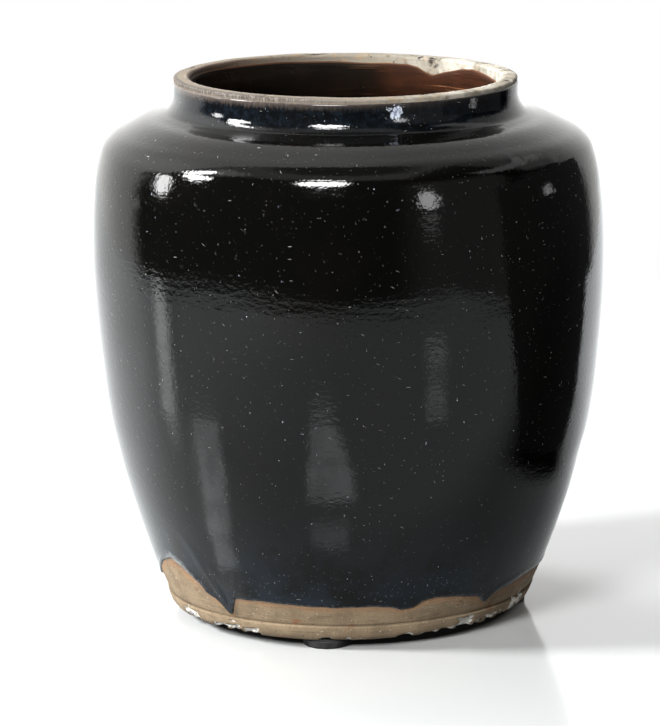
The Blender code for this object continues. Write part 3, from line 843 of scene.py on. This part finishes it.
class OILPOT_OT_thrown_clay(PotOperator):
    """Throw the clay body, with its foot, chips, groove and worn lip"""

    bl_idname = "oilpot.thrown_clay"
    bl_label = "Thrown Clay"

    COLUMNS = 580
    HEM_REACH = 29 * MM

    # Direction and half width in degrees: the foot's lifted edge, and the lip's grime, bright wear and stain
    FOOT_LIFT = (-3, 13)
    LIP_GRIME = (-140, 60)
    LIP_WEAR = (-90, 75)
    LIP_STAIN = (155, 50)

    def execute(self, context):
        sizes, colours, shape = self.pot(context)
        foot, lip = Line(shape.foot_points()), Line(shape.lip_points())
        root = shape.wall.reach_at_height(shape.root - 20 * MM)
        base_rows = steps_between(0, sizes.base_radius, 14 * MM)
        foot_rows = steps_between(0, foot.length, 0.45 * MM)
        wall_rows = rows_through(
            (0, self.HEM_REACH, root, shape.wall.length), (0.95 * MM, 12 * MM, 3.2 * MM))
        lip_rows = steps_between(0, lip.length, 0.42 * MM)
        inside_rows = np.concatenate((
            rows_through((0, 6 * MM, 60 * MM), (0.6 * MM, 5 * MM)),
            np.linspace(60 * MM, shape.inside.length, 14),
        ))
        runs = (
            (base_rows, 0 * base_rows), foot.at(foot_rows), shape.wall.at(wall_rows), lip.at(lip_rows),
            shape.inside.at(inside_rows))
        radius, height = np.concatenate(runs, axis=1)
        ends = np.cumsum([len(run[0]) for run in runs])
        piece = turned("thrown_clay", np.column_stack((radius, height)), self.COLUMNS)

        def rule(turn, row):
            r, z = radius[row].copy(), height[row].copy()
            in_foot = (row >= ends[0]) & (row < ends[1])
            in_lip = (row >= ends[2]) & (row < ends[3])
            outside = (row >= ends[0]) & (row < ends[2])
            r += np.where(outside, hand_marks(turn, z), 0)
            near_foot = outside * fade(z, 45 * MM, 30 * MM)
            rings = waver(turn, z, 11, 9, 1.9) * 0.07 + waver(turn, z, 12, 26, 3.2) * 0.06
            r += near_foot * MM * (rings + 0.16 * waver(turn, z, 13, 14, 12))
            edge = fade(z, 3.5 * MM, 0)
            r -= near_foot * edge * MM * (0.35 + 0.35 * waver(turn, z, 14, 70, 4))
            chip, lift = 0 * r, 0 * r
            for angle, wide, tall, depth in FOOT_CHIPS:
                ragged = 1 + 0.35 * waver(turn, z, 15, 150, 1.2)
                here = fade(np.abs(apart(turn, angle)) * ragged, wide, wide * 0.55)
                here = here * fade(z * ragged, tall, tall * 0.7) * (outside | (row >= ends[0] - 1))
                r -= here * depth * (0.75 + 0.45 * waver(turn, z, 16, 240, 1.1)) * near_foot
                lift = lift + here * depth * (0.55 + 0.4 * around(turn, 18, 150)) * near_foot
                chip = np.maximum(chip, here * near_foot)
            crumb = fade(waver(turn, z, 17, 190, 3), 0.45, 0.8) * edge * near_foot
            r -= crumb * 0.5 * MM
            chip = np.maximum(chip, 0.8 * crumb)
            lift += crumb * 0.5 * MM + near_foot * 0.25 * MM * (1 + around(turn, 19, 60))
            lift += near_foot * MM * (3.6 + 0.8 * around(turn, 20, 150)) * toward(turn, *self.FOOT_LIFT)
            z += np.where(outside, lift * fade(z, 3.0 * lift + 2 * MM, 0), 0)
            lift = 0.22 * MM * around(turn, 21, 9) + 0.12 * MM * around(turn, 22, 40)
            near_top = fade(z, shape.top - 9 * MM, shape.top - 1.5 * MM)
            z += near_top * lift
            worn = 0.16 * waver(turn, z, 23, 30, 1.3) + 0.10 * waver(turn, z, 24, 120, 0.8)
            r += in_lip * MM * worn
            middle = sizes.neck_radius - sizes.neck_wall / 2
            lip_break = 0 * r
            for angle, wide, inward, depth in LIP_CHIPS:
                here = toward(turn, angle, wide) * bump((middle - r) - inward, 2.4 * MM) * near_top
                ragged = 0.75 + 0.5 * waver(turn, z, 25, 260, 0.9)
                z -= here * depth * ragged
                lip_break = np.maximum(lip_break, here * min(1.0, depth / (0.9 * MM)))
                r += np.sign(inward) * here * depth * ragged * 0.6
            # How dark the groove is painted, as shade
            groove = in_foot * fade(z, sizes.collar_height - 0.2 * MM, sizes.collar_height + 0.3 * MM)
            groove = groove * (0.72 + 0.28 * waver(turn, z, 26, 30, 5))
            below_hem = np.where(outside, shape.hem_height(turn) - z, 1.0)
            near_lip = np.where(row >= ends[1], fade(z, shape.top - 9 * MM, shape.top - 4 * MM), 0)
            grime = 0.15 + 0.85 * toward(turn, *self.LIP_GRIME)
            lip_side = near_lip * fade(r - middle, 0.4 * MM, 3.4 * MM) * grime
            lip_crest = near_lip * fade(middle - r, 0.2 * MM, 1.8 * MM) * toward(turn, *self.LIP_WEAR)
            lip_inside = near_lip * fade(middle - r, 1.2 * MM, 3.4 * MM) * toward(turn, *self.LIP_STAIN)
            worn_lip = np.where(row >= ends[2], fade(z, shape.top - 14 * MM, shape.top - 9 * MM), 0)
            brown_lip = 0.75 * toward(turn, -125, 50) + 0.60 * toward(turn, 150, 26)
            white_lip = np.maximum(toward(turn, 22, 34), 0.75 * toward(turn, -48, 34))
            # Painted shade on the base's underside and its first foot row
            underside_shade = np.where(row < ends[0], 1.0, np.where(row < ends[0] + 1, 0.6, 0.0))
            r = np.where((row == 0) | (row == len(radius) - 1), 0, r)
            return shape.place(turn, r, z), {
                "chip": chip, "groove": groove, "below_hem": below_hem, "hem_fuzz": shape.hem_fuzz(turn),
                "underside_shade": underside_shade, "lip": worn_lip, "lip_side": lip_side, "lip_inside": lip_inside,
                "lip_crest": lip_crest, "brown_lip": brown_lip, "white_lip": white_lip,
                "lip_break": lip_break}

        sculpt(piece, rule)
        finish_piece(piece, clay_finish(colours), "stoneware_body", angle=70)
        return {"FINISHED"}


class OILPOT_OT_glaze_coat(PotOperator):
    """Pour the outer glaze, with its running hem, rolled edge and drips"""

    bl_idname = "oilpot.glaze_coat"
    bl_label = "Glaze Coat"

    COLUMNS = 360
    EDGE = 0.9 * MM
    TOP_EDGE = 1.1 * MM

    # Direction and half width in degrees: thin glaze under the lip, a dull hollow and a painted highlight on
    # the neck
    THIN_SIDE = (-140, 55)
    COVE = (-127, 15)
    NECK_HIGHLIGHT = (-74, 2.3)
    # Height of the painted highlight on the neck
    NECK_HIGHLIGHT_HEIGHT = 0.2800

    def execute(self, context):
        sizes, colours, shape = self.pot(context)
        wall = shape.wall
        plain_hem = wall.reach_at_height(shape.foot_top + sizes.hem_rise)
        span = wall.length - plain_hem
        shoulder = wall.reach_at_height(shape.root - 45 * MM) - plain_hem
        face_rows = np.concatenate((
            self.EDGE * (1 - np.cos(np.linspace(0, math.pi / 2, 6)))[:-1],
            rows_through(
                (self.EDGE, 9 * MM, 40 * MM, shoulder, span - self.TOP_EDGE),
                (0.55 * MM, 1.3 * MM, 2.0 * MM, 1.05 * MM)),
            span - self.TOP_EDGE * np.cos(np.linspace(0, math.pi / 2, 7)),
        ))
        back_rows = rows_through((1.5 * MM, shoulder, span - 0.5 * MM), (11 * MM, 3.4 * MM))[::-1]
        distance = np.concatenate((face_rows, back_rows))
        is_face = np.arange(len(distance)) < len(face_rows)
        radius, height = wall.at(plain_hem + distance)
        square = wall.square_at(plain_hem + distance)
        depth = np.where(is_face, sizes.glaze, 0)
        flat = np.column_stack((radius + square[0] * depth, height + square[1] * depth))
        flat[0] -= (0, 0.2 * MM)
        piece = turned("glaze_coat", flat, self.COLUMNS, close=True)

        def rule(turn, row):
            turn = gathered(turn, [drip[0] for drip in DRIPS], 5.0, 1.6)
            t, face = distance[row], is_face[row]
            hem = wall.reach_at_height(shape.hem_height(turn)) - plain_hem
            at = plain_hem + t + hem * fade(t, 75 * MM, 0)
            top_wave = MM * (0.25 * around(turn, 31, 12) + 0.06 * around(turn, 32, 50))
            at = at - fade(t, span - 12 * MM, span) * (0.1 * MM + top_wave)
            r, z = wall.at(at)
            across, up = wall.square_at(at)
            thick = sizes.hem_glaze + (sizes.glaze - sizes.hem_glaze) * fade(t, 2 * MM, 45 * MM)
            thick = thick + 0.30 * MM * bump(t - 1.7 * MM, 1.9 * MM) * (1 + 0.5 * around(turn, 33, 60))
            thick = thick + 0.10 * MM * waver(turn, z, 34, 24, 28) * fade(t, 3 * MM, 20 * MM)
            for angle, lean, wide, body, tall in DRIPS:
                line = angle + lean * np.clip(t / tall, 0, 1.4) ** 1.3
                side = np.radians(apart(turn, 0) - line)
                side = (np.mod(side + math.pi, math.tau) - math.pi) * r
                thick = thick + body * bump(side, wide * (0.55 + 0.5 * t / tall)) * fade(t, tall * 1.3, 0)
            ridges = 0.016 * MM * waver(turn, z, 35, 9, 4.5)
            ridges = ridges + 0.050 * MM * waver(turn, z, 36, 6, 11)
            thick = (thick + ridges) * rolled(t, self.EDGE) * rolled(span - t, self.TOP_EDGE)
            offset = np.where(face, thick, 0) - sizes.key
            r = r + hand_marks(turn, z) + across * offset
            thin_side = 0.10 + 0.90 * toward(turn, *self.THIN_SIDE)
            cove = toward(turn, *self.COVE) * bump(span - t - 20.5 * MM, 5 * MM)
            # Where the painted highlight on the neck lies
            level = STAND + z - self.NECK_HIGHLIGHT_HEIGHT
            neck_highlight = toward(turn, *self.NECK_HIGHLIGHT) * bump(level, 3.9 * MM) * face
            return shape.place(turn, r, z + up * offset), {
                "above_hem": t, "below_top": span - t, "thin_side": thin_side, "cove": cove,
                "neck_highlight": neck_highlight, "hem_fuzz": shape.hem_fuzz(turn)}

        sculpt(piece, rule)
        finish_piece(piece, coat_finish(colours), "outer_glaze")
        return {"FINISHED"}


class OILPOT_OT_glaze_lining(PotOperator):
    """Line the inside with red-brown glaze"""

    bl_idname = "oilpot.glaze_lining"
    bl_label = "Glaze Lining"

    COLUMNS = 300
    EDGE = 1.2 * MM

    def execute(self, context):
        sizes, colours, shape = self.pot(context)
        line = shape.inside
        drop = sizes.lining_drop - sizes.lip_height
        face_rows = np.concatenate((
            drop + self.EDGE * (1 - np.cos(np.linspace(0, math.pi / 2, 5)))[:-1],
            rows_through((drop + self.EDGE, 60 * MM, line.length), (0.9 * MM, 3.0 * MM)),
            [line.length],
        ))
        back_rows = np.concatenate((
            np.linspace(line.length, 62 * MM, 30), np.linspace(60 * MM, drop + 1 * MM, 16)))
        distance = np.concatenate((face_rows, back_rows))
        is_face = np.arange(len(distance)) < len(face_rows)
        radius, height = line.at(distance)
        square = line.square_at(distance)
        depth = np.where(is_face, sizes.lining, -sizes.key)
        flat = np.column_stack((np.maximum(radius + square[0] * depth, 0), height + square[1] * depth))
        piece = turned("glaze_lining", flat, self.COLUMNS, close=True)

        def rule(turn, row):
            t, face = distance[row], is_face[row]
            sag = MM * (1.0 * around(turn, 41, 8) + 0.6 * around(turn, 42, 34))
            angles, drops = np.array(LINING_EDGE).T
            sag = 0.45 * sag + np.interp(np.degrees(turn), angles, drops)
            at = np.clip(t + fade(t, drop + 14 * MM, drop) * sag, 0, line.length)
            r, z = line.at(at)
            across, up = line.square_at(at)
            rings = 0.10 * MM * waver(turn, z, 43, 6, 5) + 0.22 * MM * waver(turn, z, 44, 4, 13)
            thick = (sizes.lining + rings * fade(r, 20 * MM, 60 * MM)) * rolled(t - drop, self.EDGE)
            offset = np.where(face, thick, 0) - sizes.key
            r = np.where(t >= line.length, 0, r + across * offset)
            # The right side of the inside, which the lining paints as lit; elsewhere it is painted as shade
            lit_inner_side = fade(np.abs(apart(turn, 16)), 92, 34)
            return shape.place(turn, r, z + up * offset), {"edge": t - drop, "lit_inner_side": lit_inner_side}

        sculpt(piece, rule)
        finish_piece(piece, lining_finish(colours), "inner_glaze")
        return {"FINISHED"}


class OILPOT_OT_floor_pads(PotOperator):
    """Stick the four rubber pads under the foot"""

    bl_idname = "oilpot.floor_pads"
    bl_label = "Floor Pads"

    SIDES = ("front", "right", "back", "left")
    CORNERS = 96
    TOP_RINGS = 3

    def execute(self, context):
        sizes, colours, _ = self.pot(context)
        material = rubber_finish(colours)
        foam = foam_finish(colours)
        for side in self.SIDES:
            node = f"floor_pad_{side}"
            low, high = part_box(node)
            middle, radius = (low + high) / 2, (high.x - low.x) / 2
            deselect_all()
            bpy.ops.mesh.primitive_cylinder_add(
                vertices=self.CORNERS, radius=radius, depth=high.z - low.z, location=middle)
            pad = bpy.context.object
            pad.name = pad.data.name = f"rubber_pad_{side}"
            bpy.ops.object.transform_apply(location=True, rotation=True, scale=True)
            with editing():
                bpy.ops.mesh.select_all(action="DESELECT")
                bpy.ops.mesh.select_mode(type="FACE")
            for face in pad.data.polygons:
                face.select = abs(face.normal.z) > 0.9
            with editing():
                bpy.ops.mesh.bevel(offset=sizes.pad_bevel, segments=4, profile=0.5, affect="EDGES")
            for face in pad.data.polygons:
                face.select = abs(face.normal.z) > 0.99 and len(face.vertices) > 8
            with editing():
                for _ in range(self.TOP_RINGS):
                    bpy.ops.mesh.inset(thickness=radius / 5, depth=0)
                bpy.ops.mesh.poke()
            finish_piece(pad, material, node, angle=50)
            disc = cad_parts[f"pad_adhesive_{side}"]
            disc.data.materials.clear()
            disc.data.materials.append(foam)
        return {"FINISHED"}


class OILPOT_OT_stage(PotOperator):
    """Set the camera, the table, the backdrop and the lamps"""

    bl_idname = "oilpot.stage"
    bl_label = "Stage"

    # Camera: where it stands and looks, its turn about its own axis, and where its axis meets the picture
    CAMERA_PLACE = (-0.00267, -2.0954, 0.5747)
    CAMERA_TILT = 11.558
    CAMERA_ROLL = -1.105
    PICTURE = (660, 726)
    AXIS_PIXEL = (345.36, 337.16)
    FOCAL_PIXELS = 4000
    SENSOR = 36.0
    FAR_CLIP = 50

    # Table: where its edges lie, and the half width and depth of its rounded front
    TABLE_LEFT, TABLE_RIGHT, TABLE_FRONT, TABLE_BACK = -1.12, 0.74, -1.0, 2.4
    FRONT_WIDTH, FRONT_DEPTH = 1.07, 0.84

    # Radii on the table: where the painted shadow under the foot ends, where the glow starts (nearer the
    # foot it is shaded off as painted shade) and where the table fades
    FOOT_DARK, GLOW_START, TABLE_FADE = (0.083, 0.091), (0.095, 0.115), (0.45, 1.0)

    # Dark card: where it stands, its height, its far edge, and its near edge by height
    CARD_ACROSS, CARD_HEIGHT, CARD_BACK = 0.275, 0.30, 0.09
    CARD_EDGE = ((0.0, -0.085), (0.06, -0.12), (0.118, -0.155), (0.20, -0.177), (0.30, -0.177))

    # What the lamps face: a point on the pot's axis at its shoulder
    LAMP_AIM = (0, 0, 0.2)

    # Lamps that the glaze mirrors: name, place, width, height and radiance
    LAMPS = (
        ("left_lamp", (-4.12, 0.22, 1.10), 0.65, 1.00, 12.0),
        ("high_left_lamp", (-3.18, -0.12, 3.00), 0.65, 1.55, 24.0),
        ("tilted_lamp", (-3.65, -0.80, 2.08), 1.05, 1.00, 30.0),
        ("front_lamp", (-0.68, -3.13, 2.57), 1.45, 1.15, 26.0),
        ("upper_front_lamp", (-0.53, -2.54, 3.35), 1.15, 0.32, 17.0),
        ("right_lamp", (2.50, -3.38, 1.32), 0.70, 1.15, 4.5),
        ("low_right_lamp", (2.38, -3.28, 0.27), 0.55, 0.12, 1.2),
        ("card_glint", (0.262, -0.052, 0.249), 0.020, 0.020, 1.6),
    )

    # Painted reflections of the lamps in the table: direction and half width, both near and far, then both
    # reaches and glow
    TABLE_IMAGES = (
        ((-173.7, -173.7), (4.2, 3.5), (0.450, 0.515), 0.90),
        ((-173.7, -173.7), (3.6, 3.0), (0.540, 0.620), 0.90),
        ((-173.7, -173.7), (2.6, 2.2), (0.680, 0.850), 0.80),
        ((-140.5, -146.0), (4.5, 5.0), (0.148, 0.185), 0.80),
        ((-145.5, -154.0), (6.0, 6.5), (0.180, 0.440), 1.00),
        ((-97.5, -101.7), (9.3, 4.0), (0.220, 0.440), 0.90),
        ((-98.6, -98.6), (6.8, 6.8), (0.166, 0.195), 0.50),
        ((-55.8, -55.8), (3.8, 3.4), (0.410, 0.480), 1.00),
        ((-55.0, -55.0), (4.0, 4.0), (0.525, 0.640), 0.95),
    )

    # Soft lamps that only light the matt surfaces
    SOFT_LAMPS = (
        ("left_key", (-1.67, -0.34, 1.23), 0.40, 0.48, 104.0),
        ("back_fill", (-0.75, 1.25, 2.40), 1.0, 1.0, 12.0),
        ("right_fill", (1.05, -1.05, 0.30), 0.4, 0.4, 6.0),
        ("front_key", (-0.95, -1.65, 0.86), 0.80, 0.50, 44.0),
    )

    def execute(self, context):
        look = context.scene.stage_look
        self.make_camera(context)
        self.make_table(look)
        self.make_card()
        for lamp in self.LAMPS:
            self.make_lamp(look, *lamp).visible_diffuse = False
        for lamp in self.SOFT_LAMPS:
            self.make_lamp(look, *lamp).visible_glossy = False
        self.make_world(context, look)
        context.scene.view_settings.view_transform = "Standard"
        context.scene.view_settings.look = "None"
        return {"FINISHED"}

    def make_camera(self, context):
        """The camera at the photographed viewing angle."""
        deselect_all()
        bpy.ops.object.camera_add(location=self.CAMERA_PLACE)
        camera = context.object
        turn = Matrix.Rotation(math.radians(90 - self.CAMERA_TILT), 3, "X")
        turn = turn @ Matrix.Rotation(math.radians(self.CAMERA_ROLL), 3, "Z")
        camera.rotation_euler = turn.to_euler()
        wide, tall = self.PICTURE
        data = camera.data
        data.sensor_fit = "HORIZONTAL"
        data.sensor_width = self.SENSOR
        data.lens = self.SENSOR * self.FOCAL_PIXELS / wide
        data.shift_x = (wide / 2 - self.AXIS_PIXEL[0]) / wide
        data.shift_y = (self.AXIS_PIXEL[1] - tall / 2) / wide
        data.clip_end = self.FAR_CLIP
        context.scene.camera = camera

    def sheet(self, name, width, depth, place, turn=(0, 0, 0)):
        """A flat sheet of the stage."""
        deselect_all()
        bpy.ops.mesh.primitive_plane_add(size=1, location=place, rotation=turn)
        piece = bpy.context.object
        piece.name = piece.data.name = name
        piece.scale = (width, depth, 1)
        bpy.ops.object.transform_apply(location=True, rotation=True, scale=True)
        return piece

    def make_table(self, look):
        """The table: one sheet that the camera sees, and one glowing sheet that the glaze reflects."""
        wide = self.TABLE_RIGHT - self.TABLE_LEFT
        deep = self.TABLE_BACK - self.TABLE_FRONT
        middle = ((self.TABLE_LEFT + self.TABLE_RIGHT) / 2, (self.TABLE_FRONT + self.TABLE_BACK) / 2)
        shown = self.sheet("table_shown", 6, 6, (0, 0, 0))
        for ray in ("glossy", "diffuse", "transmission", "shadow"):
            setattr(shown, "visible_" + ray, False)
        shown.data.materials.append(self.shown_table(look))
        seen = self.sheet("table_in_glaze", wide, deep, (*middle, -0.3 * MM))
        for ray in ("camera", "shadow", "diffuse"):
            setattr(seen, "visible_" + ray, False)
        seen.data.materials.append(self.reflected_table())

    def shown_table(self, look):
        """Pale, half glossy table that fades into the white room, with a painted shadow under the foot."""
        r = Recipe("pale table")
        distance = r.add("VectorMath", r.place, operation="LENGTH").outputs["Value"]
        painted_foot_shadow = r.part(distance, *self.FOOT_DARK)
        r.set(base_color=r.mix(painted_foot_shadow, (0.02, 0.02, 0.02), tuple(look.table)), roughness=0.10)
        r.clear(r.part(distance, *self.TABLE_FADE))
        return r.material

    def reflected_table(self):
        """The table as it glows in the glaze, brighter behind and to the left: a glowing sheet that is no
        lamp, painted with the lamps' reflections, the dark card's reflection and shade round the foot.
        """
        r = Recipe("table glow")
        across, back, _ = r.axes(r.place)
        front = r.part(across, 0.0, -0.62, 0.49, 0.84)
        left = r.times(
            r.part(back, -0.12, 0.12, 0.74, 1.34), r.part(back, 0.50, 0.90, 1.0, 0.82),
            r.part(across, -0.40, -0.80, 1.0, 0.82))
        right = r.part(back, 0.0, 0.40, 0.24, 1.10)
        behind = r.blend(r.part(across, 0.02, -0.18), right, left)
        glow = r.blend(r.part(back, -0.21, -0.10), front, behind)
        # Painted reflection of the dark card in the table
        card_reflection = r.times(r.part(across, 0.215, 0.25), r.part(back, -0.15, -0.07), r.part(back, 0.12, 0.05))
        glow = r.times(glow, r.less(1.0, card_reflection))
        reach = r.calc("SQRT", r.plus(r.times(across, across), r.times(back, back)))
        turn = r.times(r.calc("ARCTAN2", back, across), 180 / math.pi)
        patchy = r.part(r.noise(38, detail=4, rough=0.6), 0.36, 0.60, 0.62, 1.12)
        for turns, halves, (near, far), extra in self.TABLE_IMAGES:
            along = r.calc("MULTIPLY_ADD", reach, 1 / (far - near), -near / (far - near))
            side = r.calc("ABSOLUTE", r.less(turn, r.blend(along, *turns)))
            image = r.times(
                r.part(r.less(side, r.blend(along, *halves)), 1.9, -1.9),
                r.part(reach, 0.98 * near, 1.03 * near), patchy, r.part(reach, 1.03 * far, 0.92 * far))
            glow = r.calc("MULTIPLY_ADD", image, extra, glow)
        # Painted shade: the glow fades out round the foot
        glow = r.times(glow, r.part(reach, *self.GLOW_START))
        r.set(
            base_color=(0, 0, 0), roughness=0.22, specular_ior_level=r.part(back, -0.16, 0.0, 0.0, 0.32),
            emission_color=(0.95, 0.985, 1.0), emission_strength=glow)
        shares = [r.calc("ABSOLUTE", r.calc("DIVIDE", value, size)) for value, size in (
            (across, self.FRONT_WIDTH), (back, self.FRONT_DEPTH))]
        round_front = r.plus(*(r.calc("POWER", share, 3.0) for share in shares))
        r.clear(r.part(r.times(round_front, r.calc("LESS_THAN", back, 0.0)), 0.97, 1.03))
        return r.material

    def make_card(self):
        """The dark card that stands to the pot's right."""
        card = self.sheet("dark_card", self.CARD_HEIGHT, 1, (self.CARD_ACROSS, 0, self.CARD_HEIGHT / 2),
                          (0, math.radians(90), 0))
        only(card)
        with editing():
            bpy.ops.mesh.select_all(action="SELECT")
            bpy.ops.mesh.subdivide(number_cuts=7)
        heights, near_edge = np.array(self.CARD_EDGE).T
        for corner in card.data.vertices:
            near = float(np.interp(corner.co.z, heights, near_edge))
            corner.co.y = near + (self.CARD_BACK - near) * (corner.co.y + 0.5)
        card.visible_camera = False
        r = Recipe("dark card")
        r.set(base_color=(0.006, 0.006, 0.006), roughness=0.8)
        card.data.materials.append(r.material)

    def make_lamp(self, look, name, place, width, height, radiance):
        """A rectangular lamp that faces the pot's shoulder."""
        outward = Vector(place) - Vector(self.LAMP_AIM)
        deselect_all()
        bpy.ops.object.light_add(type="AREA", location=place)
        lamp = bpy.context.object
        lamp.name = lamp.data.name = name
        lamp.rotation_euler = outward.to_track_quat("Z", "Y").to_euler()
        lamp.data.shape = "ELLIPSE"
        lamp.data.size, lamp.data.size_y = width, height
        lamp.data.energy = radiance * look.lamps * math.pi * width * height
        lamp.visible_camera = False
        return lamp

    def make_world(self, context, look):
        """White to the camera; to the pot, a bright backdrop behind and a dark room in front."""
        world = bpy.data.worlds.new("studio")
        context.scene.world = world
        world.use_nodes = True
        world.node_tree.nodes.clear()
        w = Nodes(world.node_tree)
        across, back, up = w.axes(w.add("TexCoord").outputs["Generated"])
        high = w.part(up, 0.46, 0.54)
        upper_edge = w.part(w.less(back, w.times(up, 0.20)), -0.012, 0.012)
        left_edge = w.larger(w.part(across, -0.965, -0.895), high)
        right_edge = w.part(w.less(across, w.times(up, 0.5)), 0.80, 0.62)
        round_back = w.calc("ARCTAN2", w.times(across, -1), back)
        to_left = w.part(round_back, 0.5, 1.15)
        centre = w.times(w.part(round_back, -1.2, 0.25, 0.45, 1.60), w.part(up, 0.10, 0.80, 1.0, 0.54))
        left = w.times(w.part(up, 0.0, 0.50, 1.12, 1.60), w.part(up, 0.62, 0.90, 1.0, 0.62))
        bright = w.plus(w.times(centre, w.less(1.0, to_left)), w.times(left, to_left))
        backdrop = w.times(w.times(upper_edge, right_edge, left_edge), bright)
        strip = w.times(
            w.part(back, -0.33, -0.15), w.part(across, -0.42, -0.54), w.part(back, 0.12, 0.05), high,
            w.part(up, 0.60, 0.78, 0.35, 1.2), w.less(1.0, upper_edge))
        band = w.times(
            w.part(up, 0.56, 0.62, 0, 0.75), w.part(up, 0.76, 0.70), w.part(across, 0.40, 0.55),
            w.part(back, -0.25, -0.10))
        room = w.times(
            w.part(up, 0.70, 0.84, 0.015, 0.42), w.part(up, 0.93, 0.975, 1.0, 0.2),
            w.part(across, 0.44, 0.34, 0.05, 1))
        front_glow = w.times(
            w.part(across, 0.30, 0.64, 0.015, 0.15), w.part(up, 0.62, 0.40), w.part(back, -0.12, -0.22))
        level = w.larger(w.larger(w.larger(backdrop, strip), front_glow), w.larger(band, room))
        seen = w.add("Background", (1, 1, 1), 1.0).outputs[0]
        glow = w.add("Background", (1, 0.995, 0.985), w.times(level, look.backdrop)).outputs[0]
        either = w.add("MixShader", w.add("LightPath").outputs["Is Camera Ray"], glow, seen)
        w.add("OutputWorld", either.outputs[0])


STEPS = (
    OILPOT_OT_stage, OILPOT_OT_thrown_clay, OILPOT_OT_glaze_coat, OILPOT_OT_glaze_lining,
    OILPOT_OT_floor_pads,
)


class OILPOT_PT_panel(bpy.types.Panel):
    """Lists the pot's pieces, sizes and colours"""

    bl_idname = "OILPOT_PT_panel"
    bl_label = "Oil Pot"
    bl_space_type = "VIEW_3D"
    bl_region_type = "UI"
    bl_category = "Oil Pot"

    def draw(self, context):
        layout = self.layout
        for step in STEPS:
            layout.operator(step.bl_idname)
        for group in (context.scene.pot_sizes, context.scene.pot_colours, context.scene.stage_look):
            box = layout.box()
            for name in group.__annotations__:
                box.prop(group, name)


CLASSES = (PotSizes, PotColours, StageLook, *STEPS, OILPOT_PT_panel)


def register():
    for kind in CLASSES:
        bpy.utils.register_class(kind)
    bpy.types.Scene.pot_sizes = bpy.props.PointerProperty(type=PotSizes)
    bpy.types.Scene.pot_colours = bpy.props.PointerProperty(type=PotColours)
    bpy.types.Scene.stage_look = bpy.props.PointerProperty(type=StageLook)


def unregister():
    for name in ("pot_sizes", "pot_colours", "stage_look"):
        delattr(bpy.types.Scene, name)
    for kind in reversed(CLASSES):
        bpy.utils.unregister_class(kind)


def main():
    """Builds the stage and the pot."""
    register()
    bpy.ops.oilpot.stage()
    bpy.ops.oilpot.thrown_clay()
    bpy.ops.oilpot.glaze_coat()
    bpy.ops.oilpot.glaze_lining()
    bpy.ops.oilpot.floor_pads()


if __name__ == "__main__":
    main()
